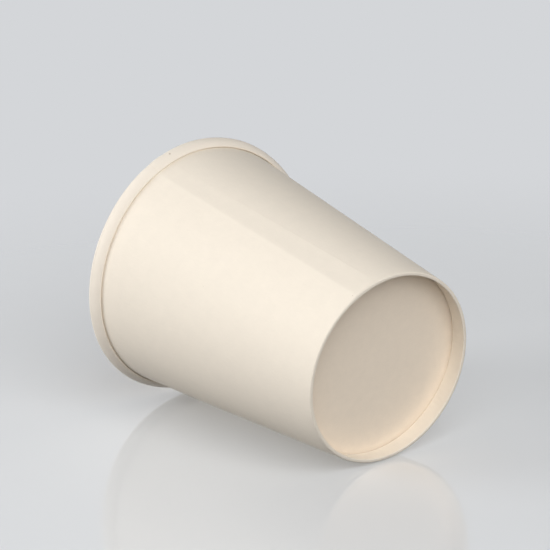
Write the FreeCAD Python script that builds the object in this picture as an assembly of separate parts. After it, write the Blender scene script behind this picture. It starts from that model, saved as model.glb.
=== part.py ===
import FreeCAD, Part
import math
import os

# Paper drinking cup with a rolled rim and a recessed bottom, standing on its foot.
# Millimetres and radians. The origin is the middle of the foot, and +Z runs up the axis to the mouth.

# Outside of the formed cup
rim_diameter = 80.0
foot_diameter = 56.0
cup_height = 90.5

# Paper stock, and the film of glue between two layers
side_board = 0.35
bottom_board = 0.30
glue_film = 0.03

# Rolled rim: the board turns outwards and down, then in and up, and its raw edge is tucked inside
curl_width = 2.4
curl_height = 4.2
curl_gap = 0.06
tuck_run = 0.9
tuck_radius = 0.45
tuck_turn = math.radians(70.0)

# Foot: the board turns in and up around the skirt of the bottom, as a hem
foot_fold_radius = 0.4
hem_height = 5.45

# Bottom: a disc set up inside the foot, with its edge bent down into the hem
recess_depth = 5.9
bottom_bend_radius = 0.5
skirt_end_gap = 0.15

# Side seam: one edge of the blank is glued over the other, and the upper layer eases down beyond it
seam_angle = math.radians(-116.2)
lap_width_at_rim = 5.0
lap_width_at_foot = 7.2
lap_rise = 0.28
lap_ease = 1.6
lap_root = 0.15
lap_end_gap = 0.1

UPRIGHT = math.radians(90.0)
HALF_TURN = math.radians(180.0)
ORIGIN = FreeCAD.Vector(0.0, 0.0, 0.0)
AXIS = FreeCAD.Vector(0.0, 0.0, 1.0)

# The side's outer face touches two circles of the section, given as radius and height:
# the outer corner of the foot, and the middle line's circle of the curl less half the board.
curl_radius = curl_width / 2.0
foot_corner = (foot_diameter / 2.0 - foot_fold_radius, foot_fold_radius)
curl_centre = (rim_diameter / 2.0 - curl_radius, cup_height - curl_radius)


def side_slope():
    """Angle between the cup's side and its axis."""
    across = curl_centre[0] - foot_corner[0]
    up = curl_centre[1] - foot_corner[1]
    offset = foot_fold_radius + curl_radius - side_board
    return math.acos(offset / math.hypot(across, up)) - math.atan2(up, across)


slope = side_slope()
up_the_side = UPRIGHT - slope
down_the_side = up_the_side - HALF_TURN


def ahead_of(heading):
    """Unit step along a heading of the section."""
    return (math.cos(heading), math.sin(heading))


def left_of(heading):
    """Unit step to the left of a heading of the section."""
    return (-math.sin(heading), math.cos(heading))


def shifted(point, direction, distance):
    """Point of the section, moved along a direction."""
    return (point[0] + direction[0] * distance, point[1] + direction[1] * distance)


def side_radius(height):
    """Radius of the side's outer face at a height."""
    touch = shifted(foot_corner, left_of(up_the_side), -foot_fold_radius)
    return touch[0] + (height - touch[1]) * math.tan(slope)


def side_length(height):
    """Length along the side that rises by this height."""
    return height / math.cos(slope)


def face_edges(start, heading, steps, offset):
    """Edges of the face that lies this far to the left of a folded board's middle line.

    A step is a straight run (length, 0) or a bend (radius, angle), positive to the left."""
    edges = []
    point = start
    for size, turn in steps:
        places = [shifted(point, left_of(heading), offset)]
        if turn == 0.0:
            point = shifted(point, ahead_of(heading), size)
            places.append(shifted(point, left_of(heading), offset))
        else:
            radius = math.copysign(size, turn)
            centre = shifted(point, left_of(heading), radius)
            for angle in (heading + turn / 2.0, heading + turn):
                places.append(shifted(centre, left_of(angle), offset - radius))
            point = shifted(centre, left_of(heading + turn), -radius)
        heading += turn
        corners = [FreeCAD.Vector(place[0], 0.0, place[1]) for place in places]
        shape = Part.Arc(*corners) if turn else Part.LineSegment(*corners)
        edges.append(shape.toShape())
    return edges


def revolved_board(start, heading, steps, thickness):
    """Folded board turned about the cup's axis."""
    left_face = face_edges(start, heading, steps, thickness / 2.0)
    right_face = face_edges(start, heading, steps, -thickness / 2.0)
    raw_edges = []
    for parameter, index in (("FirstParameter", 0), ("LastParameter", -1)):
        ends = [side[index].valueAt(getattr(side[index], parameter)) for side in (left_face, right_face)]
        raw_edges.append(Part.makeLine(*ends))
    outline = Part.Wire(Part.__sortEdges__(left_face + right_face + raw_edges))
    return Part.Face(outline).revolve(ORIGIN, AXIS, math.degrees(2.0 * HALF_TURN))


def side_shell():
    """Hem, foot fold, side and rolled rim, as one board of constant thickness."""
    fold = foot_fold_radius - side_board / 2.0
    hem_space = bottom_board + 2.0 * glue_film
    foot_flat = (hem_space + 2.0 * side_board - 2.0 * foot_fold_radius) / math.cos(slope)
    inner_corner = (foot_corner[0] - foot_flat, foot_fold_radius)
    hem_run = side_length(hem_height - foot_fold_radius)
    hem_foot = shifted(inner_corner, left_of(up_the_side), fold)
    hem_edge = shifted(hem_foot, ahead_of(up_the_side), hem_run)

    up = ahead_of(up_the_side)
    across = curl_centre[0] - foot_corner[0]
    rise = curl_centre[1] - foot_corner[1]
    side_run = across * up[0] + rise * up[1]

    over = curl_radius - side_board / 2.0
    under = over - (side_board + curl_gap) / 2.0
    curl_run = curl_height - curl_radius - under - side_board / 2.0
    steps = [
        (hem_run, 0.0),
        (fold, -down_the_side),
        (foot_flat, 0.0),
        (fold, up_the_side),
        (side_run, 0.0),
        (over, -HALF_TURN),
        (curl_run, 0.0),
        (under, -HALF_TURN),
        (tuck_run, 0.0),
        (tuck_radius, -tuck_turn),
    ]
    return revolved_board(hem_edge, down_the_side, steps, side_board)


def on_plan(radius, angle, height):
    """Point at a radius and an angle about the axis."""
    return FreeCAD.Vector(radius * math.cos(angle), radius * math.sin(angle), height)


def lap_heights():
    """Lowest and highest level of the lap on the outside of the cup."""
    return (foot_fold_radius + lap_end_gap, cup_height - curl_height - lap_end_gap)


def lap_width(height):
    """Width of the overlap at a height, which runs evenly from foot to rim."""
    share = height / cup_height
    return lap_width_at_foot + (lap_width_at_rim - lap_width_at_foot) * share


def lap_outline(height):
    """Outline of the upper layer at a height: cut edge, flat top and eased edge."""
    outer = side_radius(height)
    top = outer + lap_rise
    root = outer - lap_root
    cut = seam_angle + lap_width(height) / outer
    eased = seam_angle - lap_ease * (lap_rise + lap_root) / lap_rise / outer
    crest = Part.Arc(on_plan(top, cut, height), on_plan(top, (cut + seam_angle) / 2.0, height),
                     on_plan(top, seam_angle, height))
    base = Part.Arc(on_plan(root, eased, height), on_plan(root, (cut + eased) / 2.0, height),
                    on_plan(root, cut, height))
    step = Part.LineSegment(on_plan(root, cut, height), on_plan(top, cut, height))
    ramp = Part.LineSegment(on_plan(top, seam_angle, height), on_plan(root, eased, height))
    return Part.Wire([piece.toShape() for piece in (step, crest, ramp, base)])


def groove_outline(height):
    """Outline of the small groove inside the cup, where the lower layer ends under the upper one."""
    inner = side_radius(height) - side_board / math.cos(slope)
    mouth = inner - lap_root
    eased = seam_angle - lap_ease * (lap_rise + lap_root) / lap_rise / inner
    corners = [on_plan(mouth, seam_angle, height), on_plan(inner + lap_rise, seam_angle, height),
               on_plan(mouth, eased, height)]
    return Part.makePolygon(corners + corners[:1])


def side_wall():
    """Side blank, glued along its lap, rolled at the rim and turned in at the foot."""
    low, high = lap_heights()
    lap = Part.makeLoft([lap_outline(low), lap_outline(high)], True, True)
    groove = Part.makeLoft([groove_outline(recess_depth), groove_outline(curl_centre[1])], True, True)
    return side_shell().fuse(lap).cut(groove)


def bottom():
    """Disc across the foot, with its edge bent down between the side and the hem."""
    bend = bottom_bend_radius - bottom_board / 2.0
    disc_middle = recess_depth + bottom_board / 2.0
    depth_in_side = side_board + glue_film + bottom_board / 2.0 + bend
    bend_height = disc_middle - bend
    bend_centre = side_radius(bend_height) - depth_in_side / math.cos(slope)
    skirt_end = side_board + skirt_end_gap
    skirt_top = shifted((bend_centre, bend_height), left_of(up_the_side), -bend)
    steps = [
        (bend_centre, 0.0),
        (bend, down_the_side),
        (side_length(skirt_top[1] - skirt_end), 0.0),
    ]
    return revolved_board((0.0, disc_middle), 0.0, steps, bottom_board)


def single_solid(shape):
    """The one valid solid of a finished shape."""
    if len(shape.Solids) != 1 or not shape.isValid():
        raise ValueError("a piece of the cup did not come out as one valid solid")
    return shape.Solids[0]


pieces = {"side_wall": side_wall(), "bottom": bottom()}
os.makedirs("parts", exist_ok=True)
for name, shape in pieces.items():
    solid = single_solid(shape)
    solid.exportStep(f"parts/{name}.step")
    box = solid.BoundBox
    print(name, "volume", round(solid.Volume, 1), "box", round(box.XLength, 2), round(box.YLength, 2),
          round(box.ZMin, 3), round(box.ZMax, 3))
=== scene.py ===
import math

import bmesh
import bpy
import numpy as np
from bpy.props import FloatProperty, FloatVectorProperty, PointerProperty
from bpy.types import Operator, Panel, PropertyGroup
from mathutils import Matrix, Vector


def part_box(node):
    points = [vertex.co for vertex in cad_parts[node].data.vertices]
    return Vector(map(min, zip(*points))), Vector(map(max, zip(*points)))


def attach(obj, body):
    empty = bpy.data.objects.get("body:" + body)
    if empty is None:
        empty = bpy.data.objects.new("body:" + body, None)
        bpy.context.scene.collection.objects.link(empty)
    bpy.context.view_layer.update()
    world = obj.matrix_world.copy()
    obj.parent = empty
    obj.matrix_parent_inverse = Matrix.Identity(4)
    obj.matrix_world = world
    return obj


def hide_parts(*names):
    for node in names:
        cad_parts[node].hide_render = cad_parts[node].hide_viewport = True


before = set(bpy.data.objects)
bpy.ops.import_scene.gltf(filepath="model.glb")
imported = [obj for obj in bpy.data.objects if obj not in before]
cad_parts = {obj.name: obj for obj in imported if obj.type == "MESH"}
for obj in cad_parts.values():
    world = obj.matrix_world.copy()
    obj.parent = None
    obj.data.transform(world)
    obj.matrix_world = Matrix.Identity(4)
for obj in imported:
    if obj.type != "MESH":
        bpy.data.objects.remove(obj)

bl_info = {
    "name": "Paper cup",
    "version": (1, 0, 0),
    "blender": (4, 5, 0),
    "location": "View3D > Sidebar > Paper cup",
    "description": "Side, bottom and studio of a paper drinking cup with a rolled rim",
    "category": "Object",
}

MM = 0.001
UPRIGHT = math.radians(90.0)
HALF_TURN = math.radians(180.0)
FULL_TURN = math.radians(360.0)
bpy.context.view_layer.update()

# Nodes of the imported cup that these pieces stand for
SIDE_NODE, BOTTOM_NODE = "side_wall", "bottom"


def linear(hex_colour):
    """Linear colour of an sRGB hex value."""
    shares = [int(hex_colour[place:place + 2], 16) / 255.0 for place in (1, 3, 5)]
    return tuple(s / 12.92 if s <= 0.04045 else ((s + 0.055) / 1.055) ** 2.4 for s in shares)


def length(label, description, millimetres):
    """Length property with a default in millimetres."""
    return FloatProperty(name=label, description=description, default=millimetres * MM,
                         subtype="DISTANCE", unit="LENGTH", precision=5)


def turn(label, description, degrees):
    """Angle property with a default in degrees."""
    return FloatProperty(name=label, description=description, default=math.radians(degrees),
                         subtype="ANGLE", unit="ROTATION")


def colour(label, description, hex_colour):
    """Colour property with an sRGB hex default."""
    return FloatVectorProperty(name=label, description=description, default=linear(hex_colour),
                               subtype="COLOR", size=3, min=0.0, max=1.0)


def strength(label, description, value):
    """Plain number property, zero or more."""
    return FloatProperty(name=label, description=description, default=value, min=0.0)


class CupSizes(PropertyGroup):
    """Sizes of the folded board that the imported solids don't state by themselves."""

    side_board: length("Side board", "Thickness of the side's board", 0.35)
    bottom_board: length("Bottom board", "Thickness of the bottom's board", 0.30)
    glue_film: length("Glue film", "Space between two glued layers", 0.03)
    curl_width: length("Curl width", "Width of the rolled rim", 2.4)
    curl_height: length("Curl height", "Height of the rolled rim", 4.2)
    curl_gap: length("Curl gap", "Space between the roll and the side", 0.10)
    curl_belly: turn("Curl belly", "How far the roll's outer side bends in before its lower end", 48.0)
    tuck_run: length("Tuck", "Straight end of the board inside the roll", 0.9)
    tuck_radius: length("Tuck bend", "Radius of the raw edge's last bend", 0.45)
    tuck_turn: turn("Tuck turn", "Angle of the raw edge's last bend", 70.0)
    foot_fold: length("Foot fold", "Outer radius of the fold at the foot", 0.4)
    hem_fold: length("Hem fold", "Outer radius of the tighter fold that leads into the hem", 0.22)
    hem_height: length("Hem height", "Height of the turned-in hem", 5.45)
    bottom_bend: length("Bottom bend", "Outer radius of the bottom's bent edge", 0.5)
    skirt_gap: length("Skirt gap", "Space under the bottom's skirt", 0.15)
    bottom_crown: length("Bottom crown", "Rise of the bottom's middle into the cup", 0.25)
    seam_angle: turn("Seam angle", "Where the lower layer of the lap ends", -116.2)
    lap_at_rim: length("Lap at rim", "Width of the glued lap at the rim", 5.0)
    lap_at_foot: length("Lap at foot", "Width of the glued lap at the foot", 7.2)
    lap_rise: length("Lap rise", "Step at the lap's cut edge", 0.28)
    lap_ease: length("Lap ease", "Width over which the upper layer comes down", 5.0)
    curl_swell: length("Curl swell", "Extra size of the roll over the lap", 0.1)
    rim_sway: length("Rim sway", "Three-sided out-of-round of the rim", 0.63)
    rim_sway_angle: turn("Rim sway angle", "Direction of one bulge of the sway", 19.0)
    rim_oval: length("Rim oval", "Two-sided out-of-round of the rim", 0.31)
    rim_oval_angle: turn("Rim oval angle", "Direction of the oval's long axis", 21.4)
    rib_depth: length("Rib depth", "Depth of the rolled ribs on the hem", 0.02)
    rib_pitch: length("Rib pitch", "Distance between the rolled ribs", 1.7)


class CupColours(PropertyGroup):
    """Colours of the board's faces and raw edges."""

    outside: colour("Outside", "Bleached board, calendered", "#f5ebdc")
    inside: colour("Inside", "Bleached board under its coating", "#f5ebdd")
    underside: colour("Underside", "Bottom board, uncoated", "#f7e9d7")
    cut_edge: colour("Cut edge", "Raw edge of the board", "#e6d9c3")
    fleck: colour("Fleck", "Small dark fibres and marks", "#a08c6c")


class StudioSettings(PropertyGroup):
    """Floor, backdrop, lamps and camera."""

    floor: colour("Floor", "Satin sheet under the cup", "#e2e4e6")
    backdrop: colour("Backdrop", "What shows beyond the floor", "#d4d6d9")
    ambient: strength("Ambient", "Light from all round", 0.14)
    left: strength("Left lamp", "Soft lamp beside the lying cup", 0.12)
    rim_side: strength("Rim side lamp", "Soft lamp beside the lying cup, behind its rim", 0.59)
    front: strength("Front lamp", "Soft lamp above the camera, that lights the recess", 0.92)
    back: strength("Back lamp", "Soft lamp on the far side, that fills the lying cup from below", 0.48)
    mouth: strength("Mouth lamp", "Soft lamp that looks into the mouth", 0.55)
    lens: FloatProperty(name="Lens", description="Focal length on a 36 mm frame", default=150.74, min=1.0)
    distance: length("Distance", "From the camera to the point it aims at", 664.33)
    pitch: turn("Pitch", "How far the camera looks down at the lying cup", 15.70)
    heading: turn("Heading", "Turn of the camera from the lying cup's axis", 36.91)
    roll: turn("Roll", "Lean of the camera about its own axis", 1.95)
    lying_turn: turn("Lying turn", "Turn of the cup about its axis as it lies", 3.0)
    aim: FloatVectorProperty(name="Aim", description="Point that the camera aims at",
                             default=(-0.85 * MM, -10.22 * MM, 51.15 * MM),
                             subtype="TRANSLATION", unit="LENGTH", size=3)


# How far the roll's outer side comes in over a unit of height, a little below its widest place
CURL_TAPER = 0.27


class Section:
    """Places of the cup's section, as radius and height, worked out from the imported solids."""

    def __init__(self, sizes):
        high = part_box(SIDE_NODE)[1]
        self.height = high.z
        self.rim_radius = high.x
        self.bottom_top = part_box(BOTTOM_NODE)[1].z
        self.foot_radius = max(math.hypot(v.co.x, v.co.y)
                               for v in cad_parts[SIDE_NODE].data.vertices
                               if v.co.z < sizes.foot_fold)
        self.curl_radius = sizes.curl_width / 2.0
        self.foot_corner = (self.foot_radius - sizes.foot_fold, sizes.foot_fold)
        self.curl_centre = (self.rim_radius - self.curl_radius, self.height - self.curl_radius)
        across = self.curl_centre[0] - self.foot_corner[0]
        up = self.curl_centre[1] - self.foot_corner[1]
        reach = math.hypot(across, up)
        offset = sizes.foot_fold + self.curl_radius - sizes.side_board
        self.slope = math.acos(offset / reach) - math.atan2(up, across)
        self.lying_tilt = math.atan2(across, up) + math.asin((self.curl_radius - sizes.foot_fold) / reach)
        self.up_the_side = UPRIGHT - self.slope
        self.down_the_side = self.up_the_side - HALF_TURN
        self.side_run = across * math.sin(self.slope) + up * math.cos(self.slope)

    def side_radius(self, height):
        """Radius of the side's outer face at a height."""
        return self.foot_radius + (height - self.foot_corner[1]) * math.tan(self.slope)

    def curl_side_radius(self, height):
        """Radius of the roll's outer side at a height a little below its widest place."""
        return self.rim_radius - (self.curl_centre[1] - height) * CURL_TAPER


def ahead_of(heading):
    """Unit step along a heading of the section."""
    return np.array((math.cos(heading), math.sin(heading)))


def left_of(heading):
    """Unit step to the left of a heading of the section."""
    return np.array((-math.sin(heading), math.cos(heading)))


def middle_line(start, heading, steps):
    """Points of a folded board's middle line, and the unit step to its left at each.

    A step is (length, 0, parts) for a run or (radius, angle, parts) for a bend."""
    point = np.array(start, float)
    points, lefts = [point], [left_of(heading)]
    for size, angle, parts in steps:
        share = angle / parts
        for _ in range(parts):
            if angle == 0.0:
                point = point + ahead_of(heading) * size / parts
            else:
                radius = math.copysign(size, angle)
                point = point + radius * (left_of(heading) - left_of(heading + share))
            heading += share
            points.append(point)
            lefts.append(left_of(heading))
    return np.array(points), np.array(lefts)


def smooth(share):
    """Eased share from 0 to 1."""
    share = np.clip(share, 0.0, 1.0)
    return share * share * (3.0 - 2.0 * share)


# Points of a mesh that are closer than this are one, and an edge sharper than this stays an edge
MERGE_DISTANCE = 0.0005 * MM
SHARP_ANGLE = math.radians(38.0)


def lathe(name, radius, height, angle, finish, materials):
    """Mesh of rows around the axis, closed both ways, with a material number for each patch."""
    rows, columns = radius.shape
    places = np.stack([radius * np.cos(angle), radius * np.sin(angle), height], axis=-1)
    numbers = np.arange(rows * columns).reshape(rows, columns)
    next_row = np.roll(numbers, -1, axis=0)
    patches = np.stack([numbers, np.roll(numbers, -1, axis=1), np.roll(next_row, -1, axis=1), next_row],
                       axis=-1).reshape(-1, 4)
    mesh = bpy.data.meshes.new(name)
    mesh.from_pydata(places.reshape(-1, 3).tolist(), [], patches.tolist())
    mesh.polygons.foreach_set("material_index", finish.ravel().astype(np.int32))
    for material in materials:
        mesh.materials.append(material)
    tidy = bmesh.new()
    tidy.from_mesh(mesh)
    bmesh.ops.remove_doubles(tidy, verts=tidy.verts, dist=MERGE_DISTANCE)
    bmesh.ops.recalc_face_normals(tidy, faces=tidy.faces)
    tidy.to_mesh(mesh)
    tidy.free()
    mesh.shade_smooth()
    mesh.set_sharp_from_angle(angle=SHARP_ANGLE)
    piece = bpy.data.objects.new(name, mesh)
    bpy.context.scene.collection.objects.link(piece)
    return piece


# Material numbers of a folded board's patches
LEFT_FACE, RIGHT_FACE, RAW_EDGE = 0, 1, 2


def board_rows(points, lefts, thickness):
    """Both faces of a board as one closed loop of section points, with the unit step out of each."""
    left_face = points + lefts * thickness / 2.0
    right_face = points - lefts * thickness / 2.0
    return np.vstack([left_face, right_face[::-1]]), np.vstack([lefts, -lefts[::-1]])


def board_finish(count, columns):
    """Material numbers of the loop's patches: left face, far raw edge, right face, near raw edge."""
    finish = np.empty((2 * count, columns), int)
    finish[:count - 1] = LEFT_FACE
    finish[count - 1] = RAW_EDGE
    finish[count:2 * count - 1] = RIGHT_FACE
    finish[2 * count - 1] = RAW_EDGE
    return finish


# Columns of the side's mesh: the eased edge of the lap, its flat top, and the rest of the turn
EASE_COLUMNS, LAP_COLUMNS, PLAIN_COLUMNS = 9, 9, 560

# Width around the cup within which the board steps up or down at a cut edge
EDGE_SPLIT = 0.015 * MM

# Share of the lap's rise that is left at its cut edge, which is pressed down while the glue sets
LAP_EDGE = 0.35


def lap_columns(sizes, section, radius, height):
    """Angle of each column at each row, and its rise, groove, dip and middle of the lap."""
    share = height / section.height
    width = (sizes.lap_at_foot + (sizes.lap_at_rim - sizes.lap_at_foot) * share)[:, None]
    radius = radius[:, None]
    lower_end = np.full_like(radius, sizes.seam_angle)
    eased_from = lower_end - sizes.lap_ease / radius
    cut = lower_end + width / radius
    split = EDGE_SPLIT / radius
    ease = np.linspace(0.0, 1.0, EASE_COLUMNS)
    flat = np.linspace(0.0, 1.0, LAP_COLUMNS)
    plain = np.linspace(0.0, 1.0, PLAIN_COLUMNS, endpoint=False)
    angle = np.hstack([
        eased_from + (lower_end - eased_from) * ease,
        lower_end + split + (cut - lower_end - split) * flat,
        cut + split + (eased_from + FULL_TURN - cut - split) * plain,
    ])
    rise = np.concatenate([ease ** 2, 1.0 - (1.0 - LAP_EDGE) * flat, np.zeros(PLAIN_COLUMNS)])
    groove = np.concatenate([ease ** 2, np.zeros(LAP_COLUMNS + PLAIN_COLUMNS)])
    # Two glued layers stay flat from edge to edge, so they dip below the round of the wall
    middle = np.concatenate([np.zeros(EASE_COLUMNS), flat * (1.0 - flat), np.zeros(PLAIN_COLUMNS)])
    dip = middle * width ** 2 / (2.0 * radius)
    # That product is a quarter in the middle of the lap, so four times it is a share from 0 to 1
    return angle, rise, groove, dip, 4.0 * middle


# Slow waves that handling leaves in a thin board: their depth, the rise over which they shift by
# a radian, and how many of each of the two kinds there are around the cup
WAVE_DEPTH = 0.02 * MM
WAVE_RISE = 14.0 * MM
WAVE_COUNTS = (7.0, 11.0)


def out_of_round(sizes, section, angle, height):
    """How far the thin side stands out from a true cone."""
    share = height / section.height
    sway = sizes.rim_sway * np.cos(3.0 * (angle - sizes.rim_sway_angle))
    oval = sizes.rim_oval * np.cos(2.0 * (angle - sizes.rim_oval_angle))
    shift = height / WAVE_RISE
    waves = np.cos(WAVE_COUNTS[0] * angle + shift) + np.cos(WAVE_COUNTS[1] * angle - shift)
    return (sway + oval + WAVE_DEPTH * waves) * share


# Uneven ribs: how often their pitch wanders around the foot, how often their depth changes, where
# that begins, and the middle and the half range of the depth's share
RIB_WANDERS, RIB_CHANGES, RIB_CHANGE_START = 5.0, 9.0, 0.7
RIB_SHARE, RIB_SHARE_RANGE = 0.6, 0.4


def hem_ribs(sizes, section, angle, height, in_hem):
    """Shallow ribs that the forming roller leaves on the hem, uneven around the foot."""
    around = angle * section.foot_radius
    ribs = np.cos(FULL_TURN * around / sizes.rib_pitch + np.cos(RIB_WANDERS * angle))
    uneven = RIB_SHARE + RIB_SHARE_RANGE * np.cos(RIB_CHANGES * angle + RIB_CHANGE_START)
    # They begin above the fold and have their whole depth after half of the hem's height
    fade = smooth((height - sizes.foot_fold) / sizes.hem_height * 2.0)
    return sizes.rib_depth * ribs * uneven * fade * in_hem


# How much the pressed fold and the tight roll flatten the lap, and the height where its flat face is whole
LAP_AT_FOLD = 0.6
LAP_ON_CURL = 0.9
DIP_FADE = 7.0 * MM

# Parts that the side's runs and bends are cut into, from the hem's raw edge to the one inside the roll
HEM_PARTS, HEM_FOLD_PARTS, FOOT_PARTS, FOOT_FOLD_PARTS, SIDE_PARTS = 6, 6, 1, 4, 26
OVER_PARTS, WIDE_PARTS, UNDER_PARTS, TUCK_PARTS, TUCK_BEND_PARTS = 14, 8, 8, 1, 3

# Rows after the wall's end within which the roll's own rules take over
CURL_BLEND_ROWS = 7.0


def build_side(sizes, materials):
    """Hem, foot fold, side and rolled rim, made from one folded board with its glued lap."""
    section = Section(sizes)
    board = sizes.side_board
    fold = sizes.foot_fold - board / 2.0
    hem_bend = sizes.hem_fold - board / 2.0
    hem_space = sizes.bottom_board + 2.0 * sizes.glue_film
    foot_flat = (hem_space + 2.0 * board - sizes.foot_fold - sizes.hem_fold) / math.cos(section.slope)
    inner_corner = np.array((section.foot_corner[0] - foot_flat, sizes.hem_fold))
    hem_run = (sizes.hem_height - sizes.hem_fold) / math.cos(section.slope)
    hem_foot = inner_corner + left_of(section.up_the_side) * hem_bend
    hem_edge = hem_foot + ahead_of(section.up_the_side) * hem_run
    over = section.curl_radius - board / 2.0
    # The roll's outer side is one wide bend, and a tight one under it leads back up along the wall:
    # the two share the roll's height and its width
    belly = sizes.curl_belly
    drop = sizes.curl_height - section.curl_radius - board / 2.0
    widest = (2.0 * over - board - sizes.curl_gap) / (1.0 + math.cos(belly))
    narrowing = (1.0 - math.cos(belly)) / (1.0 + math.cos(belly))
    still_to_turn = 1.0 - math.sin(belly)
    wide_bend = (drop - still_to_turn * widest) / (math.sin(belly) - still_to_turn * narrowing)
    under = widest - narrowing * wide_bend
    hem_steps = [
        (hem_run, 0.0, HEM_PARTS),
        (hem_bend, -section.down_the_side, HEM_FOLD_PARTS),
        (foot_flat, 0.0, FOOT_PARTS),
    ]
    side_steps = [
        (fold, section.up_the_side, FOOT_FOLD_PARTS),
        (section.side_run, 0.0, SIDE_PARTS),
    ]
    curl_steps = [
        (over, -HALF_TURN, OVER_PARTS),
        (wide_bend, -belly, WIDE_PARTS),
        (under, belly - HALF_TURN, UNDER_PARTS),
        (sizes.tuck_run, 0.0, TUCK_PARTS),
        (sizes.tuck_radius, -sizes.tuck_turn, TUCK_BEND_PARTS),
    ]
    points, lefts = middle_line(hem_edge, section.down_the_side, hem_steps + side_steps + curl_steps)
    count = len(points)
    hem_rows = 1 + sum(step[2] for step in hem_steps)
    side_rows = hem_rows + sum(step[2] for step in side_steps)

    # Share of each point in the hem and in the roll, the roll taking over within a few rows
    order = np.arange(count)
    in_hem = (order < hem_rows).astype(float)
    in_curl = smooth((order - side_rows) / CURL_BLEND_ROWS)
    loop, outward = board_rows(points, lefts, board)
    both = [np.concatenate([share, share[::-1]]) for share in (in_hem, in_curl)]
    in_hem, in_curl = [share[:, None] for share in both]
    on_left = (np.arange(2 * count) < count).astype(float)[:, None]

    angle, rise, groove, dip, lap_middle = lap_columns(sizes, section, loop[:, 0], loop[:, 1])
    at_foot = 1.0 - LAP_AT_FOLD * in_hem
    outer_rise = (1.0 - on_left) * sizes.lap_rise * at_foot * rise
    inner_groove = on_left * sizes.lap_rise * at_foot * (1.0 - LAP_ON_CURL * in_curl) * groove
    swell = on_left * sizes.curl_swell * in_curl * lap_middle
    lift = outer_rise - inner_groove + swell
    middle_height = loop[:, 1][:, None]
    shift = out_of_round(sizes, section, angle, middle_height)
    shift = shift + hem_ribs(sizes, section, angle, middle_height, in_hem)
    dip = dip * (1.0 - in_curl) * smooth(middle_height / DIP_FADE) * (1.0 - in_hem)
    radius = loop[:, 0][:, None] + outward[:, 0][:, None] * lift + shift - dip
    # The foot stays in one plane, so the lap stands out sideways there and only the roll grows in height
    height = loop[:, 1][:, None] + outward[:, 1][:, None] * lift * in_curl

    finish = board_finish(count, angle.shape[1])
    finish[:count - 1, EASE_COLUMNS - 1] = RAW_EDGE
    finish[count:2 * count - 1, EASE_COLUMNS + LAP_COLUMNS - 1] = RAW_EDGE
    return lathe("side_blank", radius, height, angle, finish, materials)


# Parts that the bottom's disc, bend and skirt are cut into, and its columns
DISC_PARTS, BEND_PARTS, SKIRT_PARTS = 24, 6, 2
BOTTOM_COLUMNS = 288

# Slow waves in the disc: how many there are around it, and where they begin
DISC_WAVES, DISC_WAVE_START = 3.0, 1.0


def build_bottom(sizes, materials):
    """Disc across the foot, with its edge bent down between the side and the hem."""
    section = Section(sizes)
    board = sizes.bottom_board
    bend = sizes.bottom_bend - board / 2.0
    disc_middle = section.bottom_top - board / 2.0
    bend_height = disc_middle - bend
    depth = sizes.side_board + sizes.glue_film + board / 2.0 + bend
    bend_centre = section.side_radius(bend_height) - depth / math.cos(section.slope)
    skirt_top = bend_height - bend * left_of(section.up_the_side)[1]
    skirt_run = (skirt_top - sizes.side_board - sizes.skirt_gap) / math.cos(section.slope)
    steps = [
        (bend_centre, 0.0, DISC_PARTS),
        (bend, section.down_the_side, BEND_PARTS),
        (skirt_run, 0.0, SKIRT_PARTS),
    ]
    points, lefts = middle_line((0.0, disc_middle), 0.0, steps)
    loop, _ = board_rows(points, lefts, board)
    angle = np.tile(np.linspace(0.0, FULL_TURN, BOTTOM_COLUMNS, endpoint=False), (len(loop), 1))
    radius = np.tile(loop[:, :1], (1, BOTTOM_COLUMNS))
    share = np.clip(radius / bend_centre, 0.0, 1.0)
    crown = sizes.bottom_crown * (1.0 - share ** 2) ** 2
    waves = WAVE_DEPTH * np.cos(DISC_WAVES * angle + DISC_WAVE_START) * share * (1.0 - share ** 2)
    height = loop[:, 1:] + crown + waves
    finish = board_finish(len(points), BOTTOM_COLUMNS)
    return lathe("bottom_disc", radius, height, angle, finish, materials)


def add_node(tree, kind, inputs=None, **settings):
    """Adds a node; inputs are values or other nodes' sockets, by the socket's name or number."""
    node = tree.nodes.new(kind)
    for name, value in settings.items():
        setattr(node, name, value)
    for socket, value in (inputs or {}).items():
        if isinstance(value, bpy.types.NodeSocket):
            tree.links.new(value, node.inputs[socket])
        else:
            node.inputs[socket].default_value = value
    return node


def new_material(name):
    """Empty node material and its tree."""
    material = bpy.data.materials.new(name)
    material.use_nodes = True
    material.node_tree.nodes.clear()
    return material, material.node_tree


def grain_scale(size_in_mm):
    """Noise scale at which one cloud is about this large."""
    return 1.0 / (size_in_mm * MM)


def opaque(rgb):
    """Colour with full alpha."""
    return (rgb[0], rgb[1], rgb[2], 1.0)


# Scale of the fibres' pattern along the axis, against its scale across
FIBRE_DRAW = 0.35


def paper_fibres(tree, cloud_mm, fibre_mm):
    """Cloudy formation and finer matted fibres of a paper sheet, as two noise outputs."""
    place = add_node(tree, "ShaderNodeTexCoord").outputs["Object"]
    # Single fibres are too fine to show, so their pattern is drawn as coarse as it needs to show.
    # They lie mostly up the side, so it is drawn out along the axis
    drawn = add_node(tree, "ShaderNodeMapping", {"Vector": place, "Scale": (1.0, 1.0, FIBRE_DRAW)})
    clouds = add_node(tree, "ShaderNodeTexNoise",
                      {"Vector": place, "Scale": grain_scale(cloud_mm), "Detail": 4.0, "Roughness": 0.6})
    fibres = add_node(tree, "ShaderNodeTexNoise",
                      {"Vector": drawn.outputs[0], "Scale": grain_scale(fibre_mm), "Detail": 5.0,
                       "Roughness": 0.7, "Distortion": 1.2})
    return clouds.outputs["Fac"], fibres.outputs["Fac"]


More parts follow.
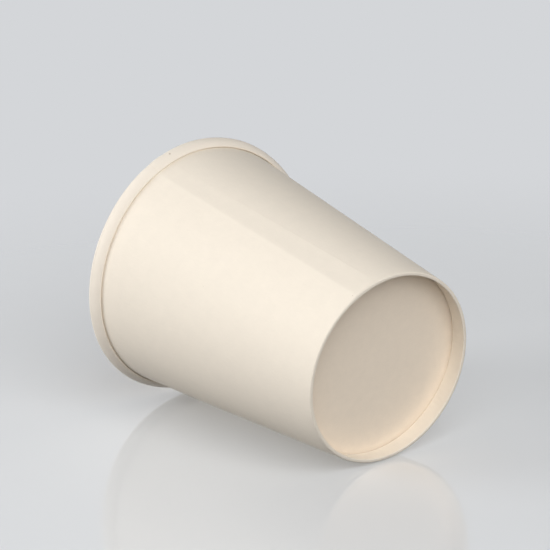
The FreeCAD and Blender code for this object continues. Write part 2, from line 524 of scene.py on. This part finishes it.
def paper_surface(name, rgb, cloud_mm, fibre_mm, tone, gloss, shine, relief_mm, marks=None):
    """Paper board: cloudy tone, matted fibres and a soft sheen.

    tone is the darkest share of the colour, gloss the lowest and highest roughness, and shine the
    specular level, where 0.5 is a smooth surface and open fibres leave less."""
    material, tree = new_material(name)
    clouds, fibres = paper_fibres(tree, cloud_mm, fibre_mm)
    mixed = add_node(tree, "ShaderNodeMath", {0: clouds, 1: fibres}, operation="ADD")
    share = add_node(tree, "ShaderNodeMapRange",
                     {"Value": mixed.outputs[0], "From Min": 0.7, "From Max": 1.3})
    shade = add_node(tree, "ShaderNodeMix",
                     {"Factor": share.outputs[0], "A": opaque([value * tone for value in rgb]),
                      "B": opaque(rgb)}, data_type="RGBA")
    finished = marks(tree, shade.outputs["Result"]) if marks else shade.outputs["Result"]
    rough = add_node(tree, "ShaderNodeMapRange",
                     {"Value": clouds, "From Min": 0.3, "From Max": 0.7,
                      "To Min": gloss[0], "To Max": gloss[1]})
    relief = add_node(tree, "ShaderNodeBump",
                      {"Height": mixed.outputs[0], "Strength": 1.0, "Distance": relief_mm * MM})
    shader = add_node(tree, "ShaderNodeBsdfPrincipled",
                      {"Base Color": finished, "Roughness": rough.outputs[0], "IOR": 1.5,
                       "Specular IOR Level": shine, "Normal": relief.outputs[0]})
    add_node(tree, "ShaderNodeOutputMaterial", {"Surface": shader.outputs[0]})
    return material


def calendered_cupstock(colours, marks):
    """Outside of the side: bleached board pressed smooth between rollers, so it is even and satin."""
    return paper_surface("calendered_cupstock", colours.outside, cloud_mm=4.0, fibre_mm=0.9, tone=0.965,
                         gloss=(0.48, 0.60), shine=0.16, relief_mm=0.012, marks=marks)


def coated_cupstock(colours, marks=None):
    """Inside and rolled rim: the same board under a clear film, so it shines a little more."""
    return paper_surface("coated_cupstock", colours.inside, cloud_mm=5.0, fibre_mm=1.2, tone=0.975,
                         gloss=(0.40, 0.50), shine=0.20, relief_mm=0.008, marks=marks)


def uncoated_board(colours):
    """Underside of the bottom: bleached board with no film, so it is matt and shows its fibres."""
    return paper_surface("uncoated_board", colours.underside, cloud_mm=3.0, fibre_mm=0.8, tone=0.955,
                         gloss=(0.62, 0.78), shine=0.20, relief_mm=0.02)


def cut_board_edge(colours):
    """Sheared edge of the board: open fibres, matt and a little darker."""
    return paper_surface("cut_board_edge", colours.cut_edge, cloud_mm=0.8, fibre_mm=0.25, tone=0.85,
                         gloss=(0.8, 0.92), shine=0.15, relief_mm=0.02)


# Small marks in the board: degrees about the axis, height and size in millimetres, and depth of tone
SIDE_FLECKS = (
    (-117.6, 1.1, 0.30, 0.8),
    (-152.0, 47.0, 0.14, 0.35),
    (171.0, 63.0, 0.12, 0.3),
    (-94.0, 70.5, 0.13, 0.3),
    (35.0, 30.0, 0.15, 0.4),
    (100.0, 55.0, 0.13, 0.35),
)
CURL_FLECKS = (
    (-106.6, 88.3, 0.42, 0.6),
    (60.0, 88.8, 0.20, 0.3),
)

# Share of a fleck's size that has its full tone
FLECK_CORE = 0.3


def fleck_marks(sizes, section, colours, flecks, radius_at):
    """Makes the step of a material that darkens it at each fleck."""
    def marks(tree, base):
        place = add_node(tree, "ShaderNodeTexCoord").outputs["Object"]
        for degrees, height, size, depth in flecks:
            angle, level = math.radians(degrees), height * MM
            radius = radius_at(level) + out_of_round(sizes, section, angle, level)
            centre = (radius * math.cos(angle), radius * math.sin(angle), level)
            away = add_node(tree, "ShaderNodeVectorMath", {0: place, 1: centre}, operation="DISTANCE")
            spot = add_node(tree, "ShaderNodeMapRange",
                            {"Value": away.outputs["Value"], "From Min": size * MM * FLECK_CORE,
                             "From Max": size * MM, "To Min": depth, "To Max": 0.0})
            base = add_node(tree, "ShaderNodeMix",
                            {"Factor": spot.outputs[0], "A": base, "B": opaque(colours.fleck)},
                            data_type="RGBA").outputs["Result"]
        return base
    return marks


def set_in_place(piece, node):
    """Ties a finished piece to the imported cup, in the place of its plain solid."""
    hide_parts(node)
    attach(piece, "root")


class CUP_OT_side(Operator):
    """Make the side: wall, glued lap, rolled rim and turned-in hem"""

    bl_idname = "cup.side"
    bl_label = "Side"

    def execute(self, context):
        sizes, colours = context.scene.cup_sizes, context.scene.cup_colours
        section = Section(sizes)
        on_side = fleck_marks(sizes, section, colours, SIDE_FLECKS, section.side_radius)
        on_curl = fleck_marks(sizes, section, colours, CURL_FLECKS, section.curl_side_radius)
        materials = [coated_cupstock(colours, on_curl), calendered_cupstock(colours, on_side),
                     cut_board_edge(colours)]
        set_in_place(build_side(sizes, materials), SIDE_NODE)
        return {"FINISHED"}


class CUP_OT_bottom(Operator):
    """Make the bottom: disc with its edge bent down into the hem"""

    bl_idname = "cup.bottom"
    bl_label = "Bottom"

    def execute(self, context):
        sizes, colours = context.scene.cup_sizes, context.scene.cup_colours
        materials = [coated_cupstock(colours), uncoated_board(colours), cut_board_edge(colours)]
        set_in_place(build_bottom(sizes, materials), BOTTOM_NODE)
        return {"FINISHED"}


# Sheets under the cup, in metres: half a side, where they begin to fade and where they are gone
FLOOR_HALF = 0.8
FADE_FROM = 0.09
FADE_TO = 0.34

# Space between the foot and the sheet, which the rolled rim's out-of-round needs as the cup lies
FLOOR_DROP = 0.45 * MM

# Brightness that the camera sees on the sheet over its lit tone
FLOOR_LIFT = 0.08


def satin_sheet(studio):
    """Satin sheet: seen from its upper side only, a little lifted for the camera, with a faint reflection."""
    material, tree = new_material("satin_sheet")
    shader = add_node(tree, "ShaderNodeBsdfPrincipled",
                      {"Base Color": opaque(studio.floor), "Roughness": 0.08, "IOR": 1.8})
    seen = add_node(tree, "ShaderNodeLightPath").outputs["Is Camera Ray"]
    glow = add_node(tree, "ShaderNodeEmission",
                    {"Color": opaque(studio.floor), "Strength": FLOOR_LIFT})
    lifted = add_node(tree, "ShaderNodeAddShader", {0: shader.outputs[0], 1: glow.outputs[0]})
    floor = add_node(tree, "ShaderNodeMixShader", {0: seen, 1: shader.outputs[0], 2: lifted.outputs[0]})
    clear = add_node(tree, "ShaderNodeBsdfTransparent")
    under = add_node(tree, "ShaderNodeNewGeometry").outputs["Backfacing"]
    # The sheet gives way to the backdrop with the distance from its own middle
    place = add_node(tree, "ShaderNodeTexCoord").outputs["Object"]
    away = add_node(tree, "ShaderNodeVectorMath", {0: place}, operation="LENGTH")
    far = add_node(tree, "ShaderNodeMapRange",
                   {"Value": away.outputs["Value"], "From Min": FADE_FROM, "From Max": FADE_TO},
                   interpolation_type="SMOOTHSTEP")
    hidden = add_node(tree, "ShaderNodeMath", {0: under, 1: far.outputs[0]}, operation="MAXIMUM")
    one_sided = add_node(tree, "ShaderNodeMixShader",
                         {0: hidden.outputs[0], 1: floor.outputs[0], 2: clear.outputs[0]})
    add_node(tree, "ShaderNodeOutputMaterial", {"Surface": one_sided.outputs[0]})
    return material


def make_floor(name, centre, normal, material):
    """Flat sheet that catches shadows and never shades the cup."""
    mesh = bpy.data.meshes.new(name)
    corners = [(-FLOOR_HALF, -FLOOR_HALF, 0.0), (FLOOR_HALF, -FLOOR_HALF, 0.0),
               (FLOOR_HALF, FLOOR_HALF, 0.0), (-FLOOR_HALF, FLOOR_HALF, 0.0)]
    mesh.from_pydata(corners, [], [(0, 1, 2, 3)])
    mesh.materials.append(material)
    sheet = bpy.data.objects.new(name, mesh)
    sheet.rotation_euler = normal.to_track_quat("Z", "Y").to_euler()
    sheet.location = centre
    sheet.visible_diffuse = False
    sheet.visible_shadow = False
    bpy.context.scene.collection.objects.link(sheet)


# Metres from the cup's middle to each lamp
LAMP_DISTANCE = 1.0

# Lamps: name, setting with its level, direction from the cup, and size in metres
LAMPS = (
    ("left_lamp", "left", (-0.95, -0.29, -0.12), 0.6),
    ("rim_side_lamp", "rim_side", (-0.77, -0.19, 0.61), 0.6),
    ("front_lamp", "front", (-0.24, -0.69, -0.68), 1.0),
    ("back_lamp", "back", (0.70, 0.62, 0.36), 0.8),
    ("mouth_lamp", "mouth", (0.06, 0.12, 0.99), 0.5),
)


def make_lamp(name, target, direction, level, size):
    """Square soft lamp that gives a facing surface about this level of light, and has no mirror image."""
    data = bpy.data.lights.new(name, "AREA")
    data.shape = "SQUARE"
    data.size = size
    data.energy = level * math.pi ** 2 * LAMP_DISTANCE ** 2
    lamp = bpy.data.objects.new(name, data)
    away = Vector(direction).normalized()
    lamp.visible_glossy = False
    lamp.location = target + away * LAMP_DISTANCE
    lamp.rotation_euler = away.to_track_quat("Z", "Y").to_euler()
    bpy.context.scene.collection.objects.link(lamp)


def set_world(studio):
    """Even light from all round, behind a pale backdrop."""
    world = bpy.data.worlds.new("studio")
    bpy.context.scene.world = world
    world.use_nodes = True
    tree = world.node_tree
    tree.nodes.clear()
    light = add_node(tree, "ShaderNodeBackground",
                     {"Color": (1.0, 1.0, 1.0, 1.0), "Strength": studio.ambient})
    shown = add_node(tree, "ShaderNodeBackground", {"Color": opaque(studio.backdrop), "Strength": 1.0})
    path = add_node(tree, "ShaderNodeLightPath")
    either = add_node(tree, "ShaderNodeMath",
                      {0: path.outputs["Is Camera Ray"], 1: path.outputs["Is Glossy Ray"]}, operation="ADD")
    seen = add_node(tree, "ShaderNodeMath",
                    {0: either.outputs[0], 1: path.outputs["Is Transmission Ray"]},
                    operation="ADD", use_clamp=True)
    mixed = add_node(tree, "ShaderNodeMixShader",
                     {0: seen.outputs[0], 1: light.outputs[0], 2: shown.outputs[0]})
    add_node(tree, "ShaderNodeOutputWorld", {"Surface": mixed.outputs[0]})


def lying_directions(studio, tilt):
    """Up from the sheet that the cup lies on, and along it from foot to rim."""
    turned = Matrix.Rotation(studio.lying_turn, 3, "Z")
    return (turned @ Vector((0.0, -math.cos(tilt), math.sin(tilt))),
            turned @ Vector((0.0, math.sin(tilt), math.cos(tilt))))


def foot_on_sheet(section, up):
    """Point of the sheet under the lowest place of the lying cup's foot."""
    outwards = Vector((-up.x, -up.y, 0.0)).normalized()
    corner = outwards * section.foot_corner[0] + Vector((0.0, 0.0, section.foot_corner[1]))
    return corner - up * (section.foot_corner[1] + FLOOR_DROP)


def set_camera(studio, tilt):
    """Camera that sees the cup lying on its side, from in front of its foot."""
    up, along = lying_directions(studio, tilt)
    level = along * math.cos(studio.heading) + along.cross(up) * math.sin(studio.heading)
    look = level * math.cos(studio.pitch) - up * math.sin(studio.pitch)
    right = look.cross(up).normalized()
    turned = Matrix.Rotation(studio.roll, 3, look) @ Matrix((right, right.cross(look), -look)).transposed()
    data = bpy.data.cameras.new("camera")
    data.lens = studio.lens
    camera = bpy.data.objects.new("camera", data)
    camera.rotation_mode = "QUATERNION"
    camera.rotation_quaternion = turned.to_quaternion()
    camera.location = Vector(studio.aim) - look * studio.distance
    bpy.context.scene.collection.objects.link(camera)
    bpy.context.scene.camera = camera


class CUP_OT_studio(Operator):
    """Make the studio: floor, backdrop, lamps and camera"""

    bl_idname = "cup.studio"
    bl_label = "Studio"

    def execute(self, context):
        studio = context.scene.cup_studio
        section = Section(context.scene.cup_sizes)
        tilt = section.lying_tilt
        middle = Vector((0.0, 0.0, section.height / 2.0))
        sheet = satin_sheet(studio)
        make_floor("standing_floor", Vector((0.0, 0.0, -FLOOR_DROP)), Vector((0.0, 0.0, 1.0)), sheet)
        up, along = lying_directions(studio, tilt)
        under_middle = foot_on_sheet(section, up) + along * section.height / 2.0
        make_floor("lying_floor", under_middle, up, sheet)
        for name, setting, direction, size in LAMPS:
            make_lamp(name, middle, direction, getattr(studio, setting), size)
        set_world(studio)
        set_camera(studio, tilt)
        context.scene.view_settings.view_transform = "Standard"
        return {"FINISHED"}


class CUP_PT_panel(Panel):
    """Buttons that make the paper cup"""

    bl_idname = "CUP_PT_panel"
    bl_label = "Paper cup"
    bl_space_type = "VIEW_3D"
    bl_region_type = "UI"
    bl_category = "Paper cup"

    def draw(self, context):
        for operator in OPERATORS:
            self.layout.operator(operator.bl_idname)
        for group in (context.scene.cup_sizes, context.scene.cup_colours, context.scene.cup_studio):
            box = self.layout.box()
            for name in group.__annotations__:
                box.prop(group, name)


OPERATORS = (CUP_OT_studio, CUP_OT_side, CUP_OT_bottom)
CLASSES = (CupSizes, CupColours, StudioSettings) + OPERATORS + (CUP_PT_panel,)


def register():
    for made in CLASSES:
        bpy.utils.register_class(made)
    bpy.types.Scene.cup_sizes = PointerProperty(type=CupSizes)
    bpy.types.Scene.cup_colours = PointerProperty(type=CupColours)
    bpy.types.Scene.cup_studio = PointerProperty(type=StudioSettings)


def unregister():
    del bpy.types.Scene.cup_studio
    del bpy.types.Scene.cup_colours
    del bpy.types.Scene.cup_sizes
    for made in reversed(CLASSES):
        bpy.utils.unregister_class(made)


def main():
    """Makes the whole cup and its studio."""
    register()
    bpy.ops.cup.studio()
    bpy.ops.cup.side()
    bpy.ops.cup.bottom()


if __name__ == "__main__":
    main()
